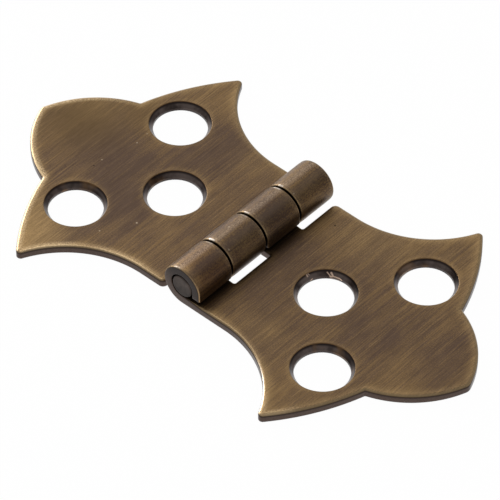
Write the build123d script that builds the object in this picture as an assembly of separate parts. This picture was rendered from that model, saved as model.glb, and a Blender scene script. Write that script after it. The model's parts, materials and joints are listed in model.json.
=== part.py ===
from build123d import *
import math
import os

# A decorative butterfly hinge pressed from brass sheet. Two identical leaves, one turned half a turn from
# the other, each roll two knuckles round one loose pin, and the four knuckles interleave along the barrel.
# The hinge lies open and flat: the undersides of the leaves are on Z = 0, the pin runs along Y above the
# origin, and the right leaf reaches out towards +X. Lengths are millimetres, angles are degrees.

# Sheet, and the bevel that tumbling leaves on its edges
sheet = 1.00
edge_break = 0.15

# Outline of a leaf, measured from the pin's axis and from the leaf's own centre line, corners still sharp
point_reach = 28.63
cusp_reach = 21.56
cusp_span = 14.43
wing_reach = 16.06
wing_span = 33.71
waist_width = 19.75
notch_line = 2.64

# Radii of the outline's arcs: hollow side, outer side of the wing, side of the point
hollow_arc = 11.26
wing_arc = 26.30
point_arc = 11.36

# Radii that soften the outline's corners
point_round = 1.00
cusp_round = 0.25
wing_round = 0.45
shoulder_round = 0.60
notch_round = 0.20

# Screw holes: a straight land at the underside that opens upwards to a wider mouth. The middle hole is
# placed from the pin's axis and the two wing holes back from the cusps.
hole_radius = 2.80
mouth_radius = 3.10
land_depth = 0.35
middle_hole_reach = 10.16
wing_hole_setback = 5.05
wing_hole_spacing = 15.47

# Pin and barrel: the roll ends in a straight tip that stops short of the leaf
pin_radius = 1.27
pin_clearance = 0.09
pin_rest = 0.65
pin_end_break = 0.15
knuckles_per_leaf = 2
knuckle_gap = 0.24
end_play = 0.20
tip_gap = 0.45

# Sizes that follow from those above
bore_radius = pin_radius + pin_clearance
barrel_radius = bore_radius + sheet
knuckle_count = 2 * knuckles_per_leaf
barrel_length = waist_width + end_play
knuckle_length = (barrel_length - (knuckle_count - 1) * knuckle_gap) / knuckle_count
knuckle_pitch = knuckle_length + knuckle_gap
barrel_start = -barrel_length / 2
leaf_centre = barrel_start + waist_width / 2
pin_axis = Axis((0, 0, barrel_radius), (0, 1, 0))

# Far enough past any face for a cut to come out clean, and near enough for two sizes to be the same
spare = 1.0
hair = 0.001


def knuckle_spans():
    """Start and end along Y of each knuckle that the right leaf rolls, its end knuckle first."""
    starts = [barrel_start + 2 * k * knuckle_pitch for k in range(knuckles_per_leaf)]
    return [(start, start + knuckle_length) for start in starts]


def waist_end_reach():
    """Distance from the pin's axis at which the straight waist runs smoothly into the hollow arc."""
    rise = (wing_span - waist_width) / 2
    return wing_reach - math.sqrt(hollow_arc**2 - (hollow_arc - rise) ** 2)


def outline_side(side):
    """Waist, hollow, wing and point on one side of the leaf's centre line, from the notch line outwards."""
    shoulder = (notch_line, side * waist_width / 2)
    waist_end = (waist_end_reach(), side * waist_width / 2)
    wing_tip = (wing_reach, side * wing_span / 2)
    cusp = (cusp_reach, side * cusp_span / 2)
    point = (point_reach, 0)
    return [
        Line(shoulder, waist_end),
        RadiusArc(waist_end, wing_tip, -side * hollow_arc),
        RadiusArc(wing_tip, cusp, side * wing_arc),
        RadiusArc(cusp, point, side * point_arc),
    ]


def soften(face, x, y, radius):
    """Round the outline's corner nearest a place."""
    return fillet(face.vertices().sort_by_distance((x, y, 0))[0], radius)


def plate_face():
    """Plan of the flat part of the leaf beyond the notch line, with its corners softened."""
    notch_side = Line((notch_line, waist_width / 2), (notch_line, -waist_width / 2))
    face = make_face(outline_side(1) + outline_side(-1) + [notch_side])
    face = soften(face, point_reach, 0, point_round)
    for side in (1, -1):
        face = soften(face, cusp_reach, side * cusp_span / 2, cusp_round)
        face = soften(face, wing_reach, side * wing_span / 2, wing_round)
    return soften(face, notch_line, waist_width / 2, shoulder_round)


def blank_face():
    """Plan of the flat blank: the plate, and the strips that run on under the pin with notches between."""
    face = Pos(0, leaf_centre) * plate_face()
    for start, end in knuckle_spans():
        face += Pos(notch_line / 2, (start + end) / 2) * Rectangle(notch_line, end - start)
    roots = [end for _, end in knuckle_spans()] + [start for start, _ in knuckle_spans()[1:]]
    for y in roots:
        face = soften(face, notch_line, y, notch_round)
    return face


def hole_cutter():
    """What a screw hole leaves empty: a straight land, then a wall that widens to the mouth."""
    land = Cylinder(hole_radius, land_depth + spare, align=(Align.CENTER, Align.CENTER, Align.MAX))
    mouth = Cone(hole_radius, mouth_radius, sheet - land_depth, align=(Align.CENTER, Align.CENTER, Align.MIN))
    return Pos(0, 0, land_depth) * (land + mouth)


def hole_places():
    """Centres of the three screw holes of the right leaf."""
    return [
        (middle_hole_reach, leaf_centre),
        (cusp_reach - wing_hole_setback, leaf_centre + wing_hole_spacing / 2),
        (cusp_reach - wing_hole_setback, leaf_centre - wing_hole_spacing / 2),
    ]


def flat_blank():
    """The blank with its screw holes cut and every edge bevelled but those that a knuckle carries on."""
    blank = extrude(blank_face(), sheet)
    for place in hole_places():
        blank -= Pos(*place) * hole_cutter()
    rims = blank.faces().filter_by(Axis.Z).edges().filter_by(bevelled)
    return chamfer(rims, edge_break)


def bevelled(edge):
    """True for an edge of the blank that ends in the open: not at the pin's axis, nor a hole's lower rim."""
    at_pin = abs(edge.center().X) < hair
    lower_rim = edge.geom_type == GeomType.CIRCLE and abs(edge.radius - hole_radius) < hair
    return not (at_pin or lower_rim)


def knuckle(start, end):
    """One knuckle: the strip's own section carried three quarters round the pin, then straight down."""
    middle = (start + end) / 2
    strip = Rectangle(end - start, sheet)
    section = Plane.YZ * Pos(middle, sheet / 2) * chamfer(strip.vertices(), edge_break)
    tip = Box(sheet, end - start, bore_radius - tip_gap, align=(Align.MIN, Align.CENTER, Align.MAX))
    roll_end = tip.faces().sort_by(Axis.Z)[-1]
    tip = chamfer(tip.edges() - roll_end.edges(), edge_break)
    return revolve(section, pin_axis, 270.0) + Pos(bore_radius, middle, barrel_radius) * tip


def right_leaf():
    """One leaf in one piece of sheet: the flat blank with each of its strips rolled round the pin."""
    leaf = flat_blank()
    for start, end in knuckle_spans():
        leaf += knuckle(start, end)
    return leaf


def hinge_pin():
    """The loose pin: as long as the barrel, and settled towards the bottom of its bores."""
    pin = Cylinder(pin_radius, barrel_length, rotation=(90, 0, 0))
    pin = chamfer(pin.edges().filter_by(GeomType.CIRCLE), pin_end_break)
    return Pos(0, 0, barrel_radius - pin_rest * pin_clearance) * pin


leaf = right_leaf()
nodes = {
    "right_leaf": leaf,
    "left_leaf": Rot(0, 0, 180) * leaf,
    "hinge_pin": hinge_pin(),
}

os.makedirs("parts", exist_ok=True)
for name, solid in nodes.items():
    export_step(solid, f"parts/{name}.step")
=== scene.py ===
import json
import math
from types import SimpleNamespace

import bmesh
import bpy
import numpy as np
from mathutils import Matrix, Quaternion, Vector
from mathutils.geometry import delaunay_2d_cdt
from mathutils.kdtree import KDTree


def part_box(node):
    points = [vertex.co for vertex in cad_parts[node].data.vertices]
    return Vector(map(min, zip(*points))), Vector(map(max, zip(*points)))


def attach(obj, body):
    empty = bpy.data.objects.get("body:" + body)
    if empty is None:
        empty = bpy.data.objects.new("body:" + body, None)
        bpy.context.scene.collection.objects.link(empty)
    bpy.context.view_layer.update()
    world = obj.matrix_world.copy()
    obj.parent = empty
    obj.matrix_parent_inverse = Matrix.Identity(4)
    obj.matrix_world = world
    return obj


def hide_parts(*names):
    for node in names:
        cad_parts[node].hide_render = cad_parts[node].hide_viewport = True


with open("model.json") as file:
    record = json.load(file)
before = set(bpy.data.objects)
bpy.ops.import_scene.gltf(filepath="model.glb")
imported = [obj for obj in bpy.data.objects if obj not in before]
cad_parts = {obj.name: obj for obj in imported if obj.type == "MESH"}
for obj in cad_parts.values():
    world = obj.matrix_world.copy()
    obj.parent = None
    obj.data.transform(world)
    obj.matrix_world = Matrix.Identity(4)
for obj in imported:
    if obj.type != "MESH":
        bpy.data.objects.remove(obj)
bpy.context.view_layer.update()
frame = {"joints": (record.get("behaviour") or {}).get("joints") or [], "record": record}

# A decorative butterfly hinge in brushed antique brass. Each leaf is made as a real one is: a flat blank is
# cut from sheet, with strips on its inner side, and the strips are then rolled round the pin. Sizes of the
# blank are in millimetres in its own flat frame. The finished pieces, the marks on them, the lamps and the
# camera are in metres.
MM = 0.001

# Sheet, and the soft edges that tumbling leaves on it: how far in the top edge starts to fall, how deep it
# goes, how much of that a strip's edge has, and the small round underneath
SHEET = 1.00
TOP_REACH = 0.33
TOP_DEPTH = 0.20
STRIP_SHARE = 0.45
UNDER_ROUND = 0.15

# Shallow fall of the open faces towards their edges, which the press leaves
EDGE_DROP = 0.040
EDGE_DROP_REACH = 0.70

# Outline of a leaf from the pin's axis and the leaf's own centre line, corners still sharp
POINT_REACH = 28.63
CUSP_REACH = 21.56
CUSP_SPAN = 14.43
WING_REACH = 16.06
WING_SPAN = 33.71
WAIST = 19.75
NOTCH_LINE = 2.64
HOLLOW_ARC = 11.26
WING_ARC = 26.30
POINT_ARC = 11.36

# Radii that soften the outline's corners
POINT_ROUND = 1.00
CUSP_ROUND = 0.25
WING_ROUND = 0.45
SHOULDER_ROUND = 0.60
NOTCH_ROUND = 0.20
TIP_ROUND = 0.30

# Screw holes: their places and land come from the frame, the mouth has a soft rim, and the land has a small
# bevel underneath
MOUNTS = {mount["name"]: mount for mount in frame["record"]["mounts"]}
HOLES = [MOUNTS["right_screw_" + place] for place in ("middle", "far", "near")]
LAND_RADIUS = HOLES[0]["dims"]["r_mm"]
LAND_DEPTH = HOLES[0]["dims"]["length_mm"]
LAND_BEVEL = UNDER_ROUND / 3
RIM_RADIUS = 3.27
RIM_ROUND = 0.06
RIM_TURN = math.radians(55)

# Knuckles: the strips are rolled three quarters round the pin's axis, and end in a straight tip
KNUCKLES_PER_LEAF = 2
KNUCKLE_GAP = 0.24
TIP_GAP = 0.45
AXIS_HEIGHT = frame["joints"][0]["pos_m"][2] / MM
BORE_RADIUS = AXIS_HEIGHT - SHEET
NEUTRAL_RADIUS = AXIS_HEIGHT - SHEET / 2
ROLL_TURN = math.radians(270)
STRIP_LENGTH = NEUTRAL_RADIUS * ROLL_TURN + BORE_RADIUS - TIP_GAP
BARREL_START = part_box("hinge_pin")[0].y / MM
BARREL_LENGTH = -2 * BARREL_START
KNUCKLE_LENGTH = (BARREL_LENGTH + KNUCKLE_GAP) / (2 * KNUCKLES_PER_LEAF) - KNUCKLE_GAP
LEAF_CENTRE = BARREL_START + WAIST / 2

# How far a strip's underside is rolled when it lies fully in the open
OPEN_TURN = math.radians(40)

# Pin, from the frame's box in metres, and the soft round of its ends in millimetres
PIN_LOW, PIN_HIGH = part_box("hinge_pin")
PIN_END_ROUND = 0.20

# How much further along the sheet the left leaf is cut, in metres
LEFT_SHEET_SHIFT = 0.08

# Spacing of the meshes' points: steps along a line, steps round a small corner, rows down a soft edge, rows
# down a wall, rows down a hole's mouth as shares of its way, and the row that keeps a flat face flat up to
# its edge
STEP = 0.20
CORNER_STEPS = 8
EDGE_STEPS = 6
WALL_STEPS = 4
MOUTH_ROWS = (0.08, 0.5, 0.93, 1.0)
SUPPORT = 0.035

# How far a flat face's inner points keep from its edge, how near two of its corners are one point, and how
# near two rows are sewn together. Kind 0 fills the whole hull with triangles.
GRID_MARGIN = 0.6 * STEP
SAME_POINT = 1e-7
SEW_DISTANCE = 0.0005
FILL_HULL = 0

# Sides of the turned pin, and rings across its end
PIN_SIDES = 64
PIN_END_RINGS = 4

# Camera, fitted to the photograph's outline, with its angles in degrees
CAMERA_AZIMUTH = 41.83
CAMERA_ELEVATION = 45.78
CAMERA_DISTANCE = 0.5095
CAMERA_TARGET = Vector((0.000099, -0.000071, 0))
CAMERA_LENS = 369.8
CAMERA_ROLL = 0.21
CAMERA_CLIP = (0.01, 10)
SENSOR_WIDTH = 36.0

# White of the floor and of the background
WHITE = (1, 1, 1, 1)

# Floor: half its width, how far below the hinge it lies, and how much of it is white rather than shaded
FLOOR_HALF = 1.5
FLOOR_DROP = 0.00003
FLOOR_WHITE = 0.985

# Light of the studio tent: strongest at the horizon, and at its weakest where a direction rises this far
HORIZON_LIGHT = 0.72
ZENITH_LIGHT = 0.40
ZENITH_START = 0.50

# Soft lamps: where each shines from, the place that it looks at, its distance from there, size and power
LAMPS = {
    "left_softbox": ((-0.92, 0.16, 0.27), (0, 0, 0), 1.0, (0.70, 0.42), 5.6),
    "top_softbox": ((-0.47, 0.50, 0.73), (0, 0, 0), 1.2, (0.80, 0.80), 2.3),
    "near_softbox": ((-0.18, 0.12, 0.97), (-0.018, -0.013, 0), 0.05, (0.022, 0.022), 0.0035),
}


# Plan of the blank

def arc(centre, start, end, turn):
    """Points on the arc from start to end, anticlockwise if turn is 1, clockwise if -1, without its end."""
    first = math.atan2(start[1] - centre[1], start[0] - centre[0])
    last = math.atan2(end[1] - centre[1], end[0] - centre[0])
    sweep = (last - first) * turn % (2 * math.pi) * turn
    radius = np.linalg.norm(start - centre)
    count = max(CORNER_STEPS, math.ceil(abs(sweep) * radius / STEP))
    angles = first + sweep * np.arange(count) / count
    return centre + radius * np.stack([np.cos(angles), np.sin(angles)], 1)


def circle_centre(start, end, radius, turn):
    """Centre of the arc of that radius that runs from start to end."""
    half = (end - start) / 2
    left = np.array([-half[1], half[0]]) / np.linalg.norm(half)
    return start + half + turn * left * math.sqrt(radius**2 - half @ half)


def ball_centre(first, second, near):
    """Centre of the ball in a corner: a circle is its centre and how far the ball's centre keeps from it."""
    (p, a), (q, b) = first, second
    gap = q - p
    length = np.linalg.norm(gap)
    along = (length**2 + a**2 - b**2) / (2 * length)
    across = math.sqrt(a**2 - along**2) * np.array([-gap[1], gap[0]]) / length
    middle = p + gap * along / length
    return min((middle + across, middle - across), key=lambda c: np.linalg.norm(c - near))


def touch(centre, radius, ball):
    """Where a circle meets a ball that touches it."""
    return centre + radius * (ball - centre) / np.linalg.norm(ball - centre)


def half_outline():
    """The far side of a leaf, from the end of its straight waist round the wing to the tip of its point."""
    rise = (WING_SPAN - WAIST) / 2
    waist_end = np.array([WING_REACH - math.sqrt(HOLLOW_ARC**2 - (HOLLOW_ARC - rise) ** 2), WAIST / 2])
    wing_tip = np.array([WING_REACH, WING_SPAN / 2])
    cusp = np.array([CUSP_REACH, CUSP_SPAN / 2])
    point = np.array([POINT_REACH, 0.0])
    hollow = waist_end + [0, HOLLOW_ARC]
    wing = circle_centre(wing_tip, cusp, WING_ARC, -1)
    flank = circle_centre(cusp, point, POINT_ARC, -1)
    wing_ball = ball_centre((hollow, HOLLOW_ARC + WING_ROUND), (wing, WING_ARC - WING_ROUND), wing_tip)
    cusp_ball = ball_centre((wing, WING_ARC + CUSP_ROUND), (flank, POINT_ARC + CUSP_ROUND), cusp)
    keep = POINT_ARC - POINT_ROUND
    point_ball = ball_centre((flank, keep), (flank * [1, -1], keep), point)
    hollow_out = touch(hollow, HOLLOW_ARC, wing_ball)
    wing_in = touch(wing, WING_ARC, wing_ball)
    wing_out = touch(wing, WING_ARC, cusp_ball)
    flank_in = touch(flank, POINT_ARC, cusp_ball)
    flank_out = touch(flank, POINT_ARC, point_ball)
    point_middle = point_ball + [POINT_ROUND, 0]
    return np.concatenate([
        arc(hollow, waist_end, hollow_out, 1),
        arc(wing_ball, hollow_out, wing_in, -1),
        arc(wing, wing_in, wing_out, -1),
        arc(cusp_ball, wing_out, flank_in, 1),
        arc(flank, flank_in, flank_out, -1),
        arc(point_ball, flank_out, point_middle, -1),
        [point_middle],
    ])


def square_corners(places):
    """Straight sides with rounded square corners: a place is x, y and radius, and an end has no radius."""
    run = [places[0][:2]]
    for before, (x, y, radius), after in zip(places, places[1:], places[2:]):
        at = np.array([x, y])
        back = np.array(before[:2]) - at
        on = np.array(after[:2]) - at
        back /= np.linalg.norm(back)
        on /= np.linalg.norm(on)
        turn = 1 if back[1] * on[0] - back[0] * on[1] > 0 else -1
        end = at + on * radius
        run.extend(arc(at + (back + on) * radius, at + back * radius, end, turn))
        run.append(end)
    return np.array(run)


def outline_loop():
    """The whole blank's outline, anticlockwise, with the strips still flat and reaching under the pin."""
    half = half_outline()
    near = half * [1, -1]
    far = half[-2::-1]
    places = [tuple(far[-1]), (NOTCH_LINE, WAIST / 2, SHOULDER_ROUND)]
    pitch = 2 * (KNUCKLE_LENGTH + KNUCKLE_GAP)
    for k in reversed(range(KNUCKLES_PER_LEAF)):
        start = -WAIST / 2 + k * pitch
        end = start + KNUCKLE_LENGTH
        places += [
            (NOTCH_LINE, end, NOTCH_ROUND),
            (-STRIP_LENGTH, end, TIP_ROUND),
            (-STRIP_LENGTH, start, TIP_ROUND),
        ]
        if k > 0:
            places.append((NOTCH_LINE, start, NOTCH_ROUND))
    places.append(tuple(near[0]))
    inner = square_corners(places)[1:]
    loop = np.concatenate([near, far, inner]) + [0, LEAF_CENTRE]
    return even_steps(loop)


def even_steps(loop):
    """The loop with points added along its straight sides."""
    points = []
    for a, b in zip(loop, np.roll(loop, -1, 0)):
        count = max(1, round(np.linalg.norm(b - a) / STEP))
        points.extend(a + (b - a) * k / count for k in range(count))
    return np.array(points)


def outward(loop):
    """Unit normals of an anticlockwise loop."""
    along = np.roll(loop, -1, 0) - loop
    along /= np.linalg.norm(along, axis=1)[:, None]
    along += np.roll(along, 1, 0)
    along /= np.linalg.norm(along, axis=1)[:, None]
    return np.stack([along[:, 1], -along[:, 0]], 1)


def inside(points, loop):
    """Which points lie inside a closed loop."""
    a, b = loop, np.roll(loop, -1, 0)
    x, y = points[:, :1], points[:, 1:]
    spans = (a[:, 1] > y) != (b[:, 1] > y)
    rise = np.where(b[:, 1] == a[:, 1], 1, b[:, 1] - a[:, 1])
    crossing = a[:, 0] + (y - a[:, 1]) * (b[:, 0] - a[:, 0]) / rise
    return (spans & (x < crossing)).sum(1) % 2 == 1


def distance_to(points, loop):
    """Distance in plan from each point to a closed loop, by the two sides at its nearest corner."""
    tree = KDTree(len(loop))
    for index, (x, y) in enumerate(loop):
        tree.insert((x, y, 0), index)
    tree.balance()
    plan = points[:, :2]
    nearest = np.array([tree.find((x, y, 0))[1] for x, y in plan])
    best = np.full(len(plan), np.inf)
    for side in (-1, 1):
        start = loop[nearest]
        along = loop[(nearest + side) % len(loop)] - start
        share = ((plan - start) * along).sum(1) / (along**2).sum(1)
        foot = start + along * np.clip(share, 0, 1)[:, None]
        best = np.minimum(best, np.linalg.norm(plan - foot, axis=1))
    return best


# Mesh of the blank

def level(plan, height):
    """The points of a plan at one height."""
    return np.column_stack([plan, np.full(len(plan), height)])


def edge_profile():
    """Rows down the outline's edge, each how far in from the outline and how high."""
    turns = np.linspace(0, math.pi / 2, EDGE_STEPS + 1)
    top = [(TOP_REACH * (1 - math.sin(t)), SHEET - TOP_DEPTH * (1 - math.cos(t))) for t in turns]
    under = [(UNDER_ROUND * (1 - math.cos(t)), UNDER_ROUND * (1 - math.sin(t))) for t in turns]
    wall_height = SHEET - TOP_DEPTH - UNDER_ROUND
    wall = [(0.0, UNDER_ROUND + wall_height * k / WALL_STEPS) for k in reversed(range(1, WALL_STEPS))]
    return [(TOP_REACH + SUPPORT, SHEET), *top, *wall, *under, (UNDER_ROUND + SUPPORT, 0.0)]


def top_share(x):
    """How much of the plate's softness the top edge has at a place: less on the strips."""
    return np.clip(x / NOTCH_LINE, STRIP_SHARE, 1)


def edge_row(outer, normals, inset, height):
    """The points of one row round the outline."""
    share = top_share(outer[:, 0]) if height > SHEET / 2 else np.ones(len(outer))
    plan = outer - normals * (inset * share)[:, None]
    face = SHEET if height > SHEET / 2 else 0.0
    return np.column_stack([plan, face + (height - face) * share])


def hole_profile():
    """Rows down a screw hole, each a radius and a height: soft rim, widened mouth, straight land."""
    turns = np.linspace(0, RIM_TURN, EDGE_STEPS + 1)
    rim = [(RIM_RADIUS - RIM_ROUND * math.sin(t), SHEET - RIM_ROUND * (1 - math.cos(t))) for t in turns]
    low = rim[-1]
    mouth = [
        (low[0] + (LAND_RADIUS - low[0]) * share, low[1] + (LAND_DEPTH - low[1]) * share)
        for share in MOUTH_ROWS
    ]
    foot = LAND_RADIUS + LAND_BEVEL
    land = [(LAND_RADIUS, LAND_DEPTH - SUPPORT), (LAND_RADIUS, LAND_BEVEL), (foot, 0.0)]
    return [(RIM_RADIUS + SUPPORT, SHEET), *rim, *mouth, *land, (foot + SUPPORT, 0.0)]


def ribbon(rows, flip):
    """Vertices and quads of closed rows, one below the other."""
    size = len(rows[0])
    faces = []
    for k in range(len(rows) - 1):
        for i in range(size):
            j = (i + 1) % size
            quad = (k * size + i, k * size + j, (k + 1) * size + j, (k + 1) * size + i)
            faces.append(quad[::-1] if flip else quad)
    return np.concatenate(rows), faces


def face_grid(outer, holes):
    """Evenly spaced inner points of a flat face, clear of its outline and holes."""
    low, high = outer.min(0), outer.max(0)
    grid = np.stack(np.meshgrid(*(np.arange(low[k], high[k], STEP) for k in (0, 1))), -1).reshape(-1, 2)
    grid = grid[inside(grid, outer)]
    for hole in holes:
        grid = grid[~inside(grid, hole)]
    for loop in (outer, *holes):
        grid = grid[distance_to(grid, loop) > GRID_MARGIN]
    return grid


def flat_face(outer, holes, height, up):
    """Vertices and triangles of the flat face that lies between an outline and its holes."""
    edges = []
    start = 0
    for loop in (outer, *holes):
        edges += [(start + i, start + (i + 1) % len(loop)) for i in range(len(loop))]
        start += len(loop)
    seeds = [Vector(p) for p in np.concatenate([outer, *holes, face_grid(outer, holes)])]
    verts, _, faces, _, _, _ = delaunay_2d_cdt(seeds, edges, [], FILL_HULL, SAME_POINT)
    verts = np.array(verts)
    middles = np.array([verts[list(f)].mean(0) for f in faces])
    keep = inside(middles, outer)
    for hole in holes:
        keep &= ~inside(middles, hole)
    faces = [tuple(f) if up else tuple(f)[::-1] for f, k in zip(faces, keep) if k]
    return level(verts, height), faces


def blank_parts(outer, centres):
    """Vertices and faces of the blank's edge, of the walls of its holes, and of its two flat faces."""
    normals = outward(outer)
    turns = np.linspace(0, 2 * math.pi, round(2 * math.pi * RIM_RADIUS / STEP), endpoint=False)
    ring = np.stack([np.cos(turns), np.sin(turns)], 1)
    edge_rows, hole_rows = edge_profile(), hole_profile()
    outline_rows = [edge_row(outer, normals, inset, z) for inset, z in edge_rows]
    parts = [ribbon(outline_rows, True)]
    for centre in centres:
        parts.append(ribbon([level(centre + ring * radius, z) for radius, z in hole_rows], False))
    for row, up in ((0, True), (-1, False)):
        rims = [centre + ring * hole_rows[row][0] for centre in centres]
        parts.append(flat_face(outline_rows[row][:, :2], rims, edge_rows[row][1], up))
    return parts


def sewn_mesh(name, parts):
    """One mesh of several lots of vertices and faces, sewn together where they meet."""
    verts, faces = [], []
    start = 0
    for part_verts, part_faces in parts:
        verts.append(part_verts)
        faces += [tuple(start + i for i in face) for face in part_faces]
        start += len(part_verts)
    mesh = bpy.data.meshes.new(name)
    mesh.from_pydata(np.concatenate(verts).tolist(), [], faces)
    work = bmesh.new()
    work.from_mesh(mesh)
    bmesh.ops.remove_doubles(work, verts=work.verts, dist=SEW_DISTANCE)
    work.to_mesh(mesh)
    work.free()
    return mesh


def rolled_share(x):
    """0 on the plate, and rising to 1 where the strip begins to roll."""
    return np.clip((NOTCH_LINE - x) / NOTCH_LINE, 0, 1)


def outside_share(x):
    """0 where the underside lies on the door, and rising to 1 where the roll has turned it to the open."""
    return np.clip(-x / (NEUTRAL_RADIUS * OPEN_TURN), 0, 1)


def edge_lean(x, height):
    """0 on a flat face, and rising to 1 where its soft edge has turned into the upright wall."""
    from_top = (SHEET - height) / (TOP_DEPTH * top_share(x))
    fall = np.where(height > SHEET / 2, from_top, height / UNDER_ROUND)
    return np.arccos(np.clip(1 - fall, 0, 1)) / (math.pi / 2)


def blank_mesh(name):
    """Mesh of the flat blank of the right leaf, with what its finish has to know kept in attributes."""
    outer = outline_loop()
    centres = [np.array(hole["pos_m"][:2]) / MM for hole in HOLES]
    mesh = sewn_mesh(name, blank_parts(outer, centres))
    co = vertex_places(mesh)
    x, height = co[:, 0], co[:, 2]
    rolled, outside = rolled_share(x), outside_share(x)
    from_outline = distance_to(co, outer)
    from_centre = np.min([np.linalg.norm(co[:, :2] - centre, axis=1) for centre in centres], 0)
    set_attribute(mesh, "outline_distance", from_outline)
    set_attribute(mesh, "rim_distance", from_centre - RIM_RADIUS)
    set_attribute(mesh, "rolled", rolled)
    set_attribute(mesh, "open_side", np.where(height > SHEET / 2, 1 - rolled, outside))
    set_attribute(mesh, "lean", edge_lean(x, height))
    set_attribute(mesh, "depth", SHEET - height)
    set_sheet_map(mesh, co)
    up = height / SHEET
    drop = EDGE_DROP * np.clip(1 - from_outline / EDGE_DROP_REACH, 0, 1) ** 2
    co[:, 2] += drop * ((1 - up) * outside - up * (1 - rolled))
    mesh.vertices.foreach_set("co", co.ravel())
    mesh.transform(Matrix.Scale(MM, 4))
    mesh.shade_smooth()
    return mesh


def vertex_places(mesh):
    """A mesh's vertices as an array."""
    co = np.empty(len(mesh.vertices) * 3)
    mesh.vertices.foreach_get("co", co)
    return co.reshape(-1, 3)


def set_attribute(mesh, name, values):
    """Keeps one number for each vertex."""
    mesh.attributes.new(name, "FLOAT", "POINT").data.foreach_set("value", values.astype(np.float32))


def set_sheet_map(mesh, co):
    """Keeps each corner's place on the flat sheet, which the brushed grain follows round the knuckles."""
    corners = np.empty(len(mesh.loops), np.int32)
    mesh.loops.foreach_get("vertex_index", corners)
    places = (co[corners, :2] * MM).astype(np.float32)
    mesh.uv_layers.new(name="sheet").uv.foreach_set("vector", places.ravel())


def shift_sheet_map(mesh, shift):
    """Moves a leaf's place on the sheet that it is cut from, so that its grain is its own."""
    layer = mesh.uv_layers["sheet"]
    places = np.empty(2 * len(layer.uv), np.float32)
    layer.uv.foreach_get("vector", places)
    mesh.uv_layers.remove(layer)
    mesh.uv_layers.new(name="sheet").uv.foreach_set("vector", places + np.float32(shift))


# Node trees

def add(tree, kind, inputs=None, **settings):
    """Adds a node: an input, named or numbered, takes a value or another node's socket."""
    made = tree.nodes.new(kind)
    for key, value in settings.items():
        setattr(made, key, value)
    for key, value in (inputs or {}).items():
        if isinstance(value, bpy.types.NodeSocket):
            tree.links.new(value, made.inputs[key])
        else:
            made.inputs[key].default_value = value
    return made


def math_node(tree, operation, *values):
    """The result of one sum."""
    return add(tree, "ShaderNodeMath", dict(enumerate(values)), operation=operation).outputs[0]


def roll_tree():
    """Rolls what lies at negative X of a flat sheet up round the pin's axis, then straight on down."""
    tree = bpy.data.node_groups.new("roll_round_pin", "GeometryNodeTree")
    face = tree.interface
    face.new_socket("Blank", in_out="INPUT", socket_type="NodeSocketGeometry")
    for name in ("Axis Height", "Neutral Radius", "Roll Turn"):
        face.new_socket(name, in_out="INPUT", socket_type="NodeSocketFloat")
    face.new_socket("Finish", in_out="INPUT", socket_type="NodeSocketMaterial")
    face.new_socket("Leaf", in_out="OUTPUT", socket_type="NodeSocketGeometry")
    given = tree.nodes.new("NodeGroupInput").outputs
    place = add(tree, "GeometryNodeInputPosition").outputs[0]
    parts = add(tree, "ShaderNodeSeparateXYZ", {0: place}).outputs
    along = math_node(tree, "MAXIMUM", math_node(tree, "MULTIPLY", parts[0], -1.0), 0.0)
    turn = math_node(tree, "DIVIDE", along, given["Neutral Radius"])
    turn = math_node(tree, "MINIMUM", turn, given["Roll Turn"])
    rolled = math_node(tree, "MULTIPLY", turn, given["Neutral Radius"])
    tip = math_node(tree, "SUBTRACT", along, rolled)
    reach = math_node(tree, "SUBTRACT", given["Axis Height"], parts[2])
    back = math_node(tree, "MULTIPLY", reach, math_node(tree, "SINE", turn))
    rise = math_node(tree, "MULTIPLY", reach, math_node(tree, "COSINE", turn))
    x = math_node(tree, "SUBTRACT", math_node(tree, "MAXIMUM", parts[0], 0.0), back)
    z = math_node(tree, "SUBTRACT", math_node(tree, "SUBTRACT", given["Axis Height"], rise), tip)
    joined = add(tree, "ShaderNodeCombineXYZ", {0: x, 1: parts[1], 2: z}).outputs[0]
    moved = add(tree, "GeometryNodeSetPosition", {"Geometry": given["Blank"], "Position": joined})
    real = add(tree, "GeometryNodeRealizeInstances", {0: moved.outputs[0]})
    dressed = {"Geometry": real.outputs[0], "Material": given["Finish"]}
    finish = add(tree, "GeometryNodeSetMaterial", dressed)
    tree.links.new(finish.outputs[0], tree.nodes.new("NodeGroupOutput").inputs[0])
    return tree


def run_tree(source, tree, name, inputs):
    """A mesh object put through a geometry tree, and turned to a plain mesh."""
    modifier = source.modifiers.new(tree.name, "NODES")
    modifier.node_group = tree
    sockets = {s.name: s.identifier for s in tree.interface.items_tree if s.in_out == "INPUT"}
    for key, value in inputs.items():
        modifier[sockets[key]] = value
    graph = bpy.context.evaluated_depsgraph_get()
    ready = source.evaluated_get(graph)
    mesh = bpy.data.meshes.new_from_object(ready, preserve_all_data_layers=True, depsgraph=graph)
    mesh.name = name
    bpy.data.objects.remove(source)
    return mesh


# Colours, grains and marks of the finishes

# Colours of the patina and of what lies over it: a painted golden reflection, and on the barrel a painted
# highlight, a painted sheen and a painted shade. The red, the darker grain and the painted shade are tints
# that multiply what they lie over.
PATINA_DARK = (0.0880, 0.0566, 0.0396, 1)
PATINA_LIGHT = (0.198, 0.124, 0.056, 1)
# colour of the painted golden reflection
PAINTED_GOLD_REFLECTION = (0.122, 0.076, 0.0330, 1)
PATINA_RED = (1.06, 0.965, 0.995, 1)
GRAIN_SHADE = (0.55, 0.53, 0.51, 1)
PAINTED_CREST_HIGHLIGHT = (0.345, 0.262, 0.190, 1)
PAINTED_SHEEN = (0.260, 0.190, 0.145, 1)
PAINTED_UNDERSHADE = (0.55, 0.48, 0.46, 1)

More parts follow.
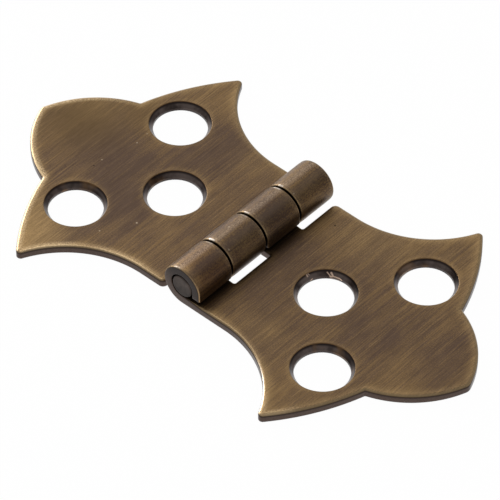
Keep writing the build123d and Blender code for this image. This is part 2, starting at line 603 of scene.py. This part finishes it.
# Colours of rubbed metal and its bright edges, which are partly painted highlight, of bare copper, and the
# near white of painted glints
WORN_DARK = (0.230, 0.148, 0.066, 1)
WORN_LIGHT = (0.378, 0.248, 0.112, 1)
EDGE_WEAR_AND_HIGHLIGHT = (0.620, 0.460, 0.270, 1)
COPPER = (0.920, 0.660, 0.500, 1)
PAINTED_GLINT_WHITE = (0.950, 0.890, 0.810, 1)

# Colours of the cut walls, the walls of the holes, and small marks
CUT_WALL = (0.096, 0.069, 0.058, 1)
CUT_END = (0.028, 0.020, 0.017, 1)
CUT_WALL_TOP = (0.050, 0.036, 0.030, 1)
HOLE_BROWN = (0.230, 0.130, 0.060, 1)
HOLE_WALL_DARK = (0.030, 0.022, 0.020, 1)
HOLE_WALL_LIGHT = (0.135, 0.106, 0.096, 1)
PIT = (0.020, 0.015, 0.012, 1)
FLECK = (0.420, 0.340, 0.240, 1)

# Colours of the pin
PIN_DARK = (0.030, 0.024, 0.021, 1)
PIN_LIGHT = (0.087, 0.068, 0.059, 1)

# Grains of the brushed sheet, drawn out along the pin, with their scale in features to a metre
FINE_STREAKS = dict(scale=16000, stretch=(1, 0.012, 1), detail=2.0, roughness=0.6)
COARSE_STREAKS = dict(scale=7000, stretch=(1, 0.014, 1), detail=3.0, roughness=0.6, shift=3.1)
BROAD_STREAKS = dict(scale=900, stretch=(1, 0.10, 1), detail=3.0, roughness=0.6, shift=5.3)
SCORES = dict(scale=5200, stretch=(1, 0.020, 1), detail=1.0, roughness=0.5, shift=9.4)
GRAIN = dict(scale=9000, stretch=(1, 0.06, 1), detail=3.0, roughness=0.7, shift=6.6)

# Unevenness of the metal itself, about the same in every direction
CLOUDS = dict(scale=110, detail=3.0, roughness=0.55, shift=1.7)
MOTTLE = dict(scale=7000, detail=3.0, roughness=0.6)
PUNCH_MARKS = dict(scale=500, stretch=(1, 1, 0.8), detail=3.0, roughness=0.6, shift=2.2)
STAINS = dict(scale=420, detail=2.0, shift=7.7)
PIN_MOTTLE = dict(scale=1600, detail=4.0, roughness=0.6)

# Share of each grain in the tone of the patina, and what the rolled knuckles add to it and take from it
STREAK_TONE = 0.42
MOTTLE_TONE = 0.27
BROAD_TONE = 0.14
CLOUD_TONE = 0.26
ROLLED_MOTTLE_TONE = 0.38
ROLLED_TONE = -0.195

# The worn border: how many millimetres clouds and streaks make it wander, and how much narrower a roll's is
CLOUD_WANDER = -0.7
STREAK_WANDER = -0.9
ROLLED_NARROWING = 4.0

# Ramps: the value at which each starts and ends, and how much it gives at both, which is 0 and 1 if not
# said. A distance from the outline or from a rim and a depth below the top face are in millimetres, and a
# lean goes from 0 on a flat face to 1 on an upright wall.
TONE_RAMP = (0.448, 0.642)
GRAIN_RAMP = (0.35, 0.65, 0.0, 0.45)
SPECKLE_RAMP = (0.42, 0.58, 0.20, 0.80)
OUTLINE_WEAR = (-0.80, 0.60, 0.50, 0.0)
RIM_WEAR = (-0.80, -0.20, 0.25, 0.0)
SCORE_WEAR = (0.63, 0.72, 0.0, 0.20)
BESIDE_OUTLINE = (0.25, 0.80, 1.0, 0.0)
EDGE_LEAN = (0.02, 0.35)
GLINT_LEAN = (0.30, 0.55)
GLINT_END = (0.0154, 0.0161, 1.0, 0.0)
WALL_LEAN = (0.0, 0.35)
WALL_TOP_DEPTH = (0.16, 0.42, 1.0, 0.0)
KNUCKLE_END_RAMP = (0.0003, 0.0036)
HOLE_START = (0.0, 0.03)
HOLE_RIM_DEPTH = (0.03, 0.10)
PALE_BAND_START = (0.14, 0.34)
PALE_BAND_END = (0.62, 0.72, 1.0, 0.3)
PUNCH_RAMP = (0.30, 0.65)
STAIN_RAMP = (0.56, 0.72, 0.0, 0.5)
PIN_MOTTLE_RAMP = (0.3, 0.7)
PIN_HEIGHT_RAMP = (0.0015, 0.0031)

# Bands of painted light along the barrel, a sheen, a shade and a highlight: how far past the pin's axis the
# middle lies, half the width, and how much
SHEEN_BAND = (0.00095, 0.00070, 0.30)
UNDERSHADE_BAND = (0.00195, 0.00040, 0.44)
CREST_HIGHLIGHT_BAND = (-0.00029, 0.00060, 0.66)

# Least brightness beside the outline and on the soft edges, and how much less of it a roll's edges have
LEAST_BESIDE = 0.10
LEAST_EDGE = 0.35
ROLLED_EDGE = -0.40

# Lean at which a cut wall starts, and how much later it does so on the open side
WALL_START = 0.05
OPEN_WALL_DELAY = 0.45

# How the dark of a knuckle's end slants, how much a cut wall is speckled, and where a rim's inside begins
KNUCKLE_END_SLANT = 0.5
WALL_SPECKLE = 0.6
INSIDE_RIM = -0.001

# Roughness of the leaves, by what adds to it and takes from it, and of the pin
LEAF_ROUGHNESS = 0.32
STREAK_ROUGHNESS = 0.14
MOTTLE_ROUGHNESS = 0.06
EDGE_ROUGHNESS = -0.12
PIN_ROUGHNESS = 0.5

# Strength and height of the fine relief
LEAF_RELIEF = (0.35, 0.000008)
PIN_RELIEF = (0.3, 0.00002)

# Share of a spot's reach at which it starts to fade, and shares of a stroke's half width at which it starts
# to fade and is gone
SPOT_CORE = 0.1
STROKE_CORE = 0.3
STROKE_FADE = 1.5

# Soft spots on the leaves, each with its centre, its reach and how much: rubbed lighter by handling and
# partly painted light, darker with painted shade, a painted golden reflection, edges rubbed bright and
# partly painted with highlights, redder, and a painted glint on one edge
RUBBED_AND_LIT = (
    ((-0.0192, -0.0147, 0.001), 0.0088, 0.92),
    ((-0.0245, 0.0050, 0.001), 0.0045, 0.22),
    ((-0.0070, 0.0095, 0.001), 0.0045, 0.22),
    ((0.0088, 0.0085, 0.001), 0.0060, 0.34),
    ((0.0090, -0.0090, 0.001), 0.0045, 0.24),
    ((0.0006, -0.0096, 0.0046), 0.0010, 0.45),
    ((0.0015, -0.0096, 0.0042), 0.0010, 0.45),
    ((0.0017, -0.0025, 0.0040), 0.0022, 0.20),
    ((0.0022, -0.0027, 0.0030), 0.0024, 0.26),
    ((0.0016, 0.0076, 0.0041), 0.0022, 0.12),
)
SHADED = (
    ((-0.0185, -0.0010, 0.001), 0.0085, 0.60),
    ((-0.0130, -0.0045, 0.001), 0.0070, 0.65),
    ((-0.0120, 0.0060, 0.001), 0.0065, 0.60),
    ((0.0160, 0.0010, 0.001), 0.0070, 0.32),
    ((0.0050, 0.0030, 0.001), 0.0050, 0.32),
    ((-0.0060, -0.0035, 0.001), 0.0040, 0.25),
    ((0.0017, -0.0072, 0.0041), 0.0024, 0.35),
    ((0.0015, 0.0025, 0.0042), 0.0026, 0.35),
)
# painted golden reflection: spots where the metal reflects warmer light, painted into the patina's colour
GOLDEN_REFLECTION = (((-0.0245, 0.0020, 0.001), 0.0075, 0.80), ((-0.0205, 0.0065, 0.001), 0.0050, 0.60))
# edges rubbed bright, and partly painted highlights where the edges face the left lamps
POLISHED_AND_HIGHLIT = (
    ((-0.0170, -0.0120, 0.001), 0.0080, 1.00),
    ((-0.0080, -0.0095, 0.001), 0.0065, 0.55),
    ((-0.0225, -0.0090, 0.001), 0.0100, 1.00),
    ((-0.0280, 0.0010, 0.001), 0.0120, 1.00),
    ((0.0172, -0.0158, 0.001), 0.0042, 0.70),
)
REDDENED = (((0.0022, -0.0079, 0.0030), 0.0050, 1.00),)
# painted glint: a near white highlight on one edge of the right leaf's hollow
GLINTING = (((0.0146, -0.0152, 0.001), 0.0064, 0.90),)

# Small marks and painted glints: pits and flecks of bare metal, given as spots, and then strokes of painted
# glint on the knuckles' rims and scratches in the wall of one hole, each with its ends, half its width and
# how bright
PITS = (((-0.01881, -0.00253, 0.001), 0.00013, 1.0), ((0.00476, 0.00739, 0.001), 0.00016, 1.0))
FLECKS = (
    ((-0.01879, -0.00136, 0.001), 0.00012, 0.7),
    ((-0.01782, 0.00279, 0.001), 0.00012, 0.7),
    ((-0.01795, 0.00442, 0.001), 0.00010, 0.6),
    ((-0.01012, -0.00555, 0.001), 0.00015, 0.8),
    ((-0.01211, -0.00883, 0.001), 0.00012, 0.7),
    ((0.01778, 0.00593, 0.001), 0.00018, 0.5),
    ((0.00132, -0.00454, 0.00432), 0.00015, 0.8),
    ((0.00101, 0.00540, 0.00449), 0.00013, 0.8),
    ((-0.00055, -0.00247, 0.00466), 0.00015, 0.8),
)
# painted glints on the knuckles' rims, where their soft edges catch the lamps
BARREL_GLINTS = (
    ((-0.00035, -0.00989, 0.00468), (-0.00095, -0.00989, 0.00448), 0.00009, 0.25),
    ((-0.00040, -0.00484, 0.00468), (-0.00100, -0.00484, 0.00448), 0.00011, 0.50),
    ((-0.00040, 0.00021, 0.00468), (-0.00085, 0.00021, 0.00453), 0.00010, 0.35),
    ((-0.00025, -0.00529, 0.00469), (-0.00090, -0.00529, 0.00453), 0.00014, 0.18),
    ((-0.00025, -0.00024, 0.00469), (-0.00090, -0.00024, 0.00453), 0.00014, 0.16),
    ((-0.00035, 0.00481, 0.00467), (-0.00100, 0.00481, 0.00448), 0.00014, 0.45),
    ((-0.00040, 0.00526, 0.00468), (-0.00085, 0.00526, 0.00453), 0.00010, 0.35),
)
SCRATCHES = (
    ((0.00825, 0.00226, 0.00069), (0.00861, 0.00229, 0.00041), 0.00006, 0.7),
    ((0.00859, 0.00248, 0.00067), (0.00884, 0.00243, 0.00043), 0.00010, 0.8),
    ((0.00866, 0.00226, 0.00036), (0.00882, 0.00239, 0.00039), 0.00009, 0.6),
    ((0.00884, 0.00242, 0.00041), (0.00952, 0.00265, 0.00038), 0.00006, 0.9),
    ((0.00952, 0.00265, 0.00038), (0.00978, 0.00267, 0.00030), 0.00006, 0.8),
    ((0.00869, 0.00228, 0.00014), (0.00952, 0.00262, 0.00011), 0.00006, 0.3),
    ((0.00708, 0.00051, 0.00085), (0.00719, 0.00053, 0.00069), 0.00008, 0.5),
    ((0.00710, 0.00069, 0.00087), (0.00720, 0.00075, 0.00076), 0.00006, 0.4),
    ((0.00752, 0.00085, 0.00036), (0.00748, 0.00070, 0.00019), 0.00006, 0.5),
)


# Parts that the finishes are built from

def noise(tree, vector, scale, stretch=(1, 1, 1), detail=2.0, roughness=0.5, shift=0.0):
    """Noise between 0 and 1 in features of about one over scale, in metres, stretched by axis."""
    mapping = add(tree, "ShaderNodeMapping", {
        "Vector": vector,
        "Location": (shift, shift, shift),
        "Scale": [scale * k for k in stretch],
    })
    inputs = {"Vector": mapping.outputs[0], "Scale": 1.0, "Detail": detail, "Roughness": roughness}
    return add(tree, "ShaderNodeTexNoise", inputs).outputs["Fac"]


def weighted(tree, *parts):
    """The sum of values, each given with its weight."""
    total = math_node(tree, "MULTIPLY", *parts[0])
    for value, weight in parts[1:]:
        total = math_node(tree, "MULTIPLY_ADD", value, weight, total)
    return total


def halfway(tree, first, second):
    """The mean of two values."""
    return weighted(tree, (first, 0.5), (second, 0.5))


def product(tree, total, *others):
    """Several values multiplied together."""
    for value in others:
        total = math_node(tree, "MULTIPLY", total, value)
    return total


def largest(tree, most, *others):
    """The largest of several values."""
    for value in others:
        most = math_node(tree, "MAXIMUM", most, value)
    return most


def between(tree, value, low, high, out_low=0.0, out_high=1.0):
    """Value's way from low to high, eased, as a number from out_low to out_high."""
    inputs = {"Value": value, 1: low, 2: high, 3: out_low, 4: out_high}
    return add(tree, "ShaderNodeMapRange", inputs, interpolation_type="SMOOTHSTEP").outputs[0]


def band(tree, value, centre, reach, amount):
    """How deep a value lies inside a soft band."""
    away = math_node(tree, "ABSOLUTE", math_node(tree, "SUBTRACT", value, centre))
    return between(tree, away, 0.0, reach, amount, 0.0)


def mix(tree, share, first, second, blend="MIX"):
    """Two colours mixed."""
    inputs = {"Factor": share, 6: first, 7: second}
    return add(tree, "ShaderNodeMix", inputs, data_type="RGBA", blend_type=blend).outputs[2]


def attribute(tree, name):
    """A number that the mesh keeps."""
    return add(tree, "ShaderNodeAttribute", attribute_name=name).outputs["Fac"]


def vector_node(tree, operation, first, second):
    """A sum of two vectors: its outputs are a vector and a value."""
    return add(tree, "ShaderNodeVectorMath", {0: first, 1: second}, operation=operation).outputs


def spots(tree, solid, places):
    """How deep a point lies inside any of a few soft spots."""
    shares = []
    for centre, reach, amount in places:
        away = vector_node(tree, "DISTANCE", solid, centre)["Value"]
        shares.append(between(tree, away, SPOT_CORE * reach, reach, amount, 0.0))
    return largest(tree, *shares)


def strokes(tree, solid, lines):
    """How deep a point lies in any of a few fine strokes, each with its ends, half width and how bright."""
    shares = []
    for start, end, reach, amount in lines:
        run = Vector(end) - Vector(start)
        ahead = vector_node(tree, "SUBTRACT", solid, start)[0]
        along = vector_node(tree, "DOT_PRODUCT", ahead, run / run.length_squared)["Value"]
        along = math_node(tree, "MAXIMUM", math_node(tree, "MINIMUM", along, 1.0), 0.0)
        foot = add(tree, "ShaderNodeVectorMath", {0: run, "Scale": along}, operation="SCALE").outputs[0]
        away = vector_node(tree, "DISTANCE", ahead, foot)["Value"]
        shares.append(between(tree, away, STROKE_CORE * reach, STROKE_FADE * reach, amount, 0.0))
    return largest(tree, *shares)


def start_brass(name):
    """A metal material, and its tree and shader."""
    material = bpy.data.materials.new(name)
    material.use_nodes = True
    tree = material.node_tree
    shader = tree.nodes["Principled BSDF"]
    shader.inputs["Metallic"].default_value = 1.0
    return material, tree, shader


def relieve(tree, shader, height, strength, distance):
    """Gives a shader a fine relief."""
    bump = add(tree, "ShaderNodeBump", {"Height": height, "Strength": strength, "Distance": distance})
    tree.links.new(bump.outputs[0], shader.inputs["Normal"])


# Finish of the leaves

def leaf_fields(tree):
    """What a leaf's finish is made from: places on it, what its mesh keeps, and the grains of its metal."""
    sheet = add(tree, "ShaderNodeUVMap", uv_map="sheet").outputs[0]
    solid = add(tree, "ShaderNodeTexCoord").outputs["Object"]
    place = add(tree, "ShaderNodeSeparateXYZ", {0: solid}).outputs
    rolled = attribute(tree, "rolled")
    open_side = attribute(tree, "open_side")
    fine = noise(tree, sheet, **FINE_STREAKS)
    coarse = noise(tree, sheet, **COARSE_STREAKS)
    mottle = noise(tree, solid, **MOTTLE)
    return SimpleNamespace(
        sheet=sheet,
        solid=solid,
        x=place[0],
        z=place[2],
        rolled=rolled,
        open_side=open_side,
        barrel=product(tree, rolled, open_side),
        lean=attribute(tree, "lean"),
        depth=attribute(tree, "depth"),
        outline_distance=attribute(tree, "outline_distance"),
        rim_distance=attribute(tree, "rim_distance"),
        coarse=coarse,
        streaks=halfway(tree, fine, coarse),
        broad=noise(tree, sheet, **BROAD_STREAKS),
        clouds=noise(tree, solid, **CLOUDS),
        mottle=mottle,
        speckle=between(tree, mottle, *SPECKLE_RAMP),
    )


def patina_tone(tree, leaf):
    """How light the patina is: its grains together, more mottled on a roll, and darker in some places."""
    tone = weighted(
        tree,
        (leaf.streaks, STREAK_TONE),
        (leaf.mottle, MOTTLE_TONE),
        (leaf.broad, BROAD_TONE),
        (leaf.clouds, CLOUD_TONE),
        (product(tree, leaf.rolled, leaf.mottle), ROLLED_MOTTLE_TONE),
        (leaf.rolled, ROLLED_TONE),
    )
    return math_node(tree, "SUBTRACT", between(tree, tone, *TONE_RAMP), spots(tree, leaf.solid, SHADED))


def wear_and_painted_light(tree, leaf):
    """How far the patina is rubbed off: in from the outline and the rims, in scores, and in some spots that
    are partly rubbed and partly painted light.
    """
    wander = weighted(tree, (leaf.clouds, CLOUD_WANDER), (leaf.coarse, STREAK_WANDER))
    narrowing = math_node(tree, "MULTIPLY_ADD", leaf.rolled, ROLLED_NARROWING, 1.0)
    outline = math_node(tree, "MULTIPLY_ADD", leaf.outline_distance, narrowing, wander)
    rim = math_node(tree, "ADD", leaf.rim_distance, wander)
    rubbed_and_lit = largest(
        tree,
        between(tree, outline, *OUTLINE_WEAR),
        between(tree, rim, *RIM_WEAR),
        # spots rubbed lighter by handling, partly painted light where the metal catches more of the lamps
        spots(tree, leaf.solid, RUBBED_AND_LIT),
        between(tree, noise(tree, leaf.sheet, **SCORES), *SCORE_WEAR),
    )
    return product(tree, rubbed_and_lit, leaf.open_side)


def patina_wear_and_painted_light(tree, leaf):
    """Dark brown patina with a painted golden reflection in places, and paler metal where it is rubbed and
    where light is painted in, all of it shaded along the grain.
    """
    tone = patina_tone(tree, leaf)
    patina = mix(tree, tone, PATINA_DARK, PATINA_LIGHT)
    # painted golden reflection in a few spots
    patina = mix(tree, spots(tree, leaf.solid, GOLDEN_REFLECTION), patina, PAINTED_GOLD_REFLECTION)
    colour = mix(tree, wear_and_painted_light(tree, leaf), patina, mix(tree, tone, WORN_DARK, WORN_LIGHT))
    grain = between(tree, noise(tree, leaf.sheet, **GRAIN), *GRAIN_RAMP)
    return mix(tree, grain, colour, GRAIN_SHADE, "MULTIPLY")


def barrel_bands(tree, leaf, colour):
    """Bands along the barrel: a painted sheen, a painted shade and a painted highlight along its top, and
    one knuckle redder.
    """
    # painted light in bands across the barrel: a sheen, a shade lower down, and a highlight along its top
    sheen_share = product(tree, leaf.barrel, band(tree, leaf.x, *SHEEN_BAND))
    colour = mix(tree, sheen_share, colour, PAINTED_SHEEN)
    shade_share = product(tree, leaf.barrel, band(tree, leaf.x, *UNDERSHADE_BAND))
    colour = mix(tree, shade_share, colour, PAINTED_UNDERSHADE, "MULTIPLY")
    highlight_share = product(tree, band(tree, leaf.x, *CREST_HIGHLIGHT_BAND), leaf.speckle, leaf.barrel)
    colour = mix(tree, highlight_share, colour, PAINTED_CREST_HIGHLIGHT)
    reddened = product(tree, leaf.barrel, spots(tree, leaf.solid, REDDENED))
    return mix(tree, reddened, colour, PATINA_RED, "MULTIPLY")


def bright_edges(tree, leaf, colour):
    """Bright metal beside the outline and on the soft edges: partly rubbed metal and partly painted
    highlight where the edges face the lamps, strongest in a few spots, and a painted glint on one edge.
    """
    # spots where the edges are rubbed bright and partly painted with highlights from the lamps
    polish_and_highlight = spots(tree, leaf.solid, POLISHED_AND_HIGHLIT)
    beside = product(
        tree,
        math_node(tree, "MAXIMUM", polish_and_highlight, LEAST_BESIDE),
        product(tree, leaf.speckle, leaf.open_side),
        between(tree, leaf.outline_distance, *BESIDE_OUTLINE),
    )
    edge = product(
        tree,
        between(tree, leaf.lean, *EDGE_LEAN),
        leaf.open_side,
        math_node(tree, "MAXIMUM", polish_and_highlight, LEAST_EDGE),
        math_node(tree, "MULTIPLY_ADD", leaf.rolled, ROLLED_EDGE, 1.0),
    )
    # painted glint on one edge
    glint = product(
        tree,
        spots(tree, leaf.solid, GLINTING),
        leaf.open_side,
        between(tree, leaf.lean, *GLINT_LEAN),
        between(tree, leaf.x, *GLINT_END),
    )
    colour = mix(tree, beside, colour, EDGE_WEAR_AND_HIGHLIGHT)
    colour = mix(tree, edge, colour, EDGE_WEAR_AND_HIGHLIGHT)
    return mix(tree, glint, colour, PAINTED_GLINT_WHITE)


def cut_walls(tree, leaf, colour):
    """Dark raw walls where the sheet is cut, darker still under an open face and high on a roll's end."""
    start = math_node(tree, "MULTIPLY_ADD", leaf.open_side, OPEN_WALL_DELAY, WALL_START)
    wall = between(tree, math_node(tree, "SUBTRACT", leaf.lean, start), *WALL_LEAN)
    slant = math_node(tree, "MULTIPLY_ADD", leaf.x, KNUCKLE_END_SLANT, leaf.z)
    end = product(tree, leaf.rolled, between(tree, slant, *KNUCKLE_END_RAMP))
    top = product(tree, between(tree, leaf.depth, *WALL_TOP_DEPTH), leaf.open_side)
    cut = mix(tree, top, mix(tree, end, CUT_WALL, CUT_END), CUT_WALL_TOP)
    cut = mix(tree, product(tree, leaf.speckle, WALL_SPECKLE), cut, GRAIN_SHADE, "MULTIPLY")
    return mix(tree, wall, colour, cut)


def marks_and_painted_glints(tree, leaf, colour):
    """A few pits and flecks, and painted glints along the knuckles' rims."""
    colour = mix(tree, spots(tree, leaf.solid, PITS), colour, PIT)
    colour = mix(tree, spots(tree, leaf.solid, FLECKS), colour, FLECK)
    return mix(tree, strokes(tree, leaf.solid, BARREL_GLINTS), colour, PAINTED_GLINT_WHITE)


def hole_walls(tree, leaf, colour):
    """Walls of the holes: dark, with a patchy pale band, brown rims and stains, and a few scratches."""
    pale = product(
        tree,
        between(tree, noise(tree, leaf.solid, **PUNCH_MARKS), *PUNCH_RAMP),
        between(tree, leaf.depth, *PALE_BAND_START),
        between(tree, leaf.depth, *PALE_BAND_END),
    )
    stained = between(tree, noise(tree, leaf.solid, **STAINS), *STAIN_RAMP)
    wall = mix(tree, pale, HOLE_WALL_DARK, HOLE_WALL_LIGHT)
    wall = mix(tree, stained, wall, HOLE_BROWN)
    wall = mix(tree, between(tree, leaf.depth, *HOLE_RIM_DEPTH), HOLE_BROWN, wall)
    wall = mix(tree, strokes(tree, leaf.solid, SCRATCHES), wall, COPPER)
    within = math_node(tree, "LESS_THAN", leaf.rim_distance, INSIDE_RIM)
    within = product(tree, within, between(tree, leaf.depth, *HOLE_START))
    return mix(tree, within, colour, wall)


def leaf_finish():
    """Brushed antique brass: dark patina with streaks along the pin, rubbed lighter along every edge, with
    painted highlights and shade in places.
    """
    material, tree, shader = start_brass("antique_brass_leaf")
    leaf = leaf_fields(tree)
    colour = patina_wear_and_painted_light(tree, leaf)
    for layer in (barrel_bands, bright_edges, cut_walls, marks_and_painted_glints, hole_walls):
        colour = layer(tree, leaf, colour)
    tree.links.new(colour, shader.inputs["Base Color"])
    roughness = weighted(
        tree,
        (leaf.streaks, STREAK_ROUGHNESS),
        (leaf.mottle, MOTTLE_ROUGHNESS),
        (leaf.lean, EDGE_ROUGHNESS),
    )
    tree.links.new(math_node(tree, "ADD", roughness, LEAF_ROUGHNESS), shader.inputs["Roughness"])
    relieve(tree, shader, leaf.streaks, *LEAF_RELIEF)
    return material


# Finish of the pin

def pin_finish():
    """Dull dark brass of the pin, mottled, and lighter towards its top."""
    material, tree, shader = start_brass("antique_brass_pin")
    shader.inputs["Roughness"].default_value = PIN_ROUGHNESS
    solid = add(tree, "ShaderNodeTexCoord").outputs["Object"]
    mottle = noise(tree, solid, **PIN_MOTTLE)
    height = add(tree, "ShaderNodeSeparateXYZ", {0: solid}).outputs[2]
    uneven = between(tree, mottle, *PIN_MOTTLE_RAMP)
    raised = between(tree, height, *PIN_HEIGHT_RAMP)
    colour = mix(tree, halfway(tree, uneven, raised), PIN_DARK, PIN_LIGHT)
    tree.links.new(colour, shader.inputs["Base Color"])
    relieve(tree, shader, mottle, *PIN_RELIEF)
    return material


# Pieces

def show(mesh, name, body, node):
    """Puts a finished mesh in the scene in place of its CAD node."""
    piece = bpy.data.objects.new(name, mesh)
    bpy.context.scene.collection.objects.link(piece)
    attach(piece, body)
    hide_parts(node)


def make_leaves():
    """Both leaves: one blank rolled, and the same turned half a turn about the vertical."""
    blank = bpy.data.objects.new("blank", blank_mesh("blank"))
    bpy.context.scene.collection.objects.link(blank)
    inputs = {
        "Axis Height": AXIS_HEIGHT * MM,
        "Neutral Radius": NEUTRAL_RADIUS * MM,
        "Roll Turn": ROLL_TURN,
        "Finish": leaf_finish(),
    }
    right = run_tree(blank, roll_tree(), "leaf_right", inputs)
    left = right.copy()
    left.name = "leaf_left"
    left.transform(Matrix.Rotation(math.pi, 4, "Z"))
    shift_sheet_map(left, LEFT_SHEET_SHIFT)
    show(right, "leaf_right_brushed", "right_leaf", "right_leaf")
    show(left, "leaf_left_brushed", "left_leaf", "left_leaf")


def pin_profile():
    """The pin's side from the middle of one end to that of the other, each point a radius and a place."""
    radius = (PIN_HIGH.x - PIN_LOW.x) / 2
    half = (PIN_HIGH.y - PIN_LOW.y) / 2
    soft = PIN_END_ROUND * MM
    turns = np.linspace(0, math.pi / 2, EDGE_STEPS + 1)
    end = [(radius - soft * (1 - math.sin(t)), half - soft * (1 - math.cos(t))) for t in turns]
    disc = [(radius * k / PIN_END_RINGS, half) for k in range(PIN_END_RINGS)]
    side = disc + end
    return side + [(r, -y) for r, y in reversed(side)]


def make_pin():
    """The pin, turned from a profile with soft ends."""
    height = (PIN_HIGH.z + PIN_LOW.z) / 2
    work = bmesh.new()
    rings = []
    for r, y in pin_profile():
        count = PIN_SIDES if r > 0 else 1
        angles = [2 * math.pi * k / PIN_SIDES for k in range(count)]
        rings.append([work.verts.new((r * math.cos(a), y, height + r * math.sin(a))) for a in angles])
    for first, second in zip(rings, rings[1:]):
        for k in range(PIN_SIDES):
            quad = [first[k % len(first)], first[(k + 1) % len(first)]]
            quad += [second[(k + 1) % len(second)], second[k % len(second)]]
            work.faces.new(list(dict.fromkeys(quad)))
    bmesh.ops.recalc_face_normals(work, faces=work.faces)
    mesh = bpy.data.meshes.new("pin")
    work.to_mesh(mesh)
    work.free()
    mesh.shade_smooth()
    mesh.materials.append(pin_finish())
    show(mesh, "pin_turned", "right_leaf", "hinge_pin")


# Stage, lamps and camera

def floor_finish():
    """White that fades into the background for the camera and in reflections, and keeps a faint shadow."""
    material = bpy.data.materials.new("floor_white")
    material.use_nodes = True
    tree = material.node_tree
    tree.nodes.clear()
    rays = add(tree, "ShaderNodeLightPath").outputs
    matt = add(tree, "ShaderNodeBsdfDiffuse", {"Color": WHITE})
    white = add(tree, "ShaderNodeEmission", {"Color": WHITE, "Strength": 1.0})
    seen = math_node(tree, "MAXIMUM", rays["Is Camera Ray"], rays["Is Glossy Ray"])
    seen = math_node(tree, "MULTIPLY", seen, FLOOR_WHITE)
    shader = add(tree, "ShaderNodeMixShader", {0: seen, 1: matt.outputs[0], 2: white.outputs[0]})
    tree.links.new(shader.outputs[0], add(tree, "ShaderNodeOutputMaterial").inputs[0])
    return material


def make_floor():
    """A plain white floor, a hair below the hinge."""
    signs = ((-1, -1), (1, -1), (1, 1), (-1, 1))
    corners = [(x * FLOOR_HALF, y * FLOOR_HALF, -FLOOR_DROP) for x, y in signs]
    mesh = bpy.data.meshes.new("floor")
    mesh.from_pydata(corners, [], [(0, 1, 2, 3)])
    mesh.materials.append(floor_finish())
    floor = bpy.data.objects.new("floor", mesh)
    bpy.context.scene.collection.objects.link(floor)


def make_world():
    """A soft studio tent: white where the camera looks, and for lighting brightest along the horizon."""
    world = bpy.data.worlds.new("studio")
    bpy.context.scene.world = world
    world.use_nodes = True
    tree = world.node_tree
    tree.nodes.clear()
    rays = add(tree, "ShaderNodeLightPath").outputs
    direction = add(tree, "ShaderNodeTexCoord").outputs["Generated"]
    height = add(tree, "ShaderNodeSeparateXYZ", {0: direction}).outputs[2]
    strength = between(tree, height, 0.0, ZENITH_START, HORIZON_LIGHT, ZENITH_LIGHT)
    tent = add(tree, "ShaderNodeBackground", {"Color": WHITE, "Strength": strength})
    white = add(tree, "ShaderNodeBackground", {"Color": WHITE, "Strength": 1.0})
    shares = {0: rays["Is Camera Ray"], 1: tent.outputs[0], 2: white.outputs[0]}
    shader = add(tree, "ShaderNodeMixShader", shares)
    tree.links.new(shader.outputs[0], add(tree, "ShaderNodeOutputWorld").inputs[0])


def make_lamp(name, direction, place, distance, size, power):
    """A soft rectangular lamp that looks at a place on the hinge from a direction."""
    data = bpy.data.lights.new(name, "AREA")
    data.shape = "RECTANGLE"
    data.size, data.size_y = size
    data.energy = power
    lamp = bpy.data.objects.new(name, data)
    direction = Vector(direction).normalized()
    lamp.location = Vector(place) + direction * distance
    lamp.rotation_euler = (-direction).to_track_quat("-Z", "Y").to_euler()
    bpy.context.scene.collection.objects.link(lamp)


def make_camera():
    """The camera at the photograph's viewing angle."""
    azimuth, elevation = math.radians(CAMERA_AZIMUTH), math.radians(CAMERA_ELEVATION)
    level_share = math.cos(elevation)
    back = Vector((math.sin(azimuth) * level_share, -math.cos(azimuth) * level_share, math.sin(elevation)))
    data = bpy.data.cameras.new("camera")
    data.lens = CAMERA_LENS
    data.sensor_width = SENSOR_WIDTH
    data.clip_start, data.clip_end = CAMERA_CLIP
    camera = bpy.data.objects.new("camera", data)
    camera.location = CAMERA_TARGET + back * CAMERA_DISTANCE
    roll = Quaternion((0, 0, 1), math.radians(CAMERA_ROLL))
    camera.rotation_euler = ((-back).to_track_quat("-Z", "Y") @ roll).to_euler()
    bpy.context.scene.collection.objects.link(camera)
    bpy.context.scene.camera = camera


make_camera()
make_world()
make_floor()
for lamp_name, lamp_setting in LAMPS.items():
    make_lamp(lamp_name, *lamp_setting)
make_leaves()
make_pin()
bpy.context.scene.view_settings.view_transform = "Standard"
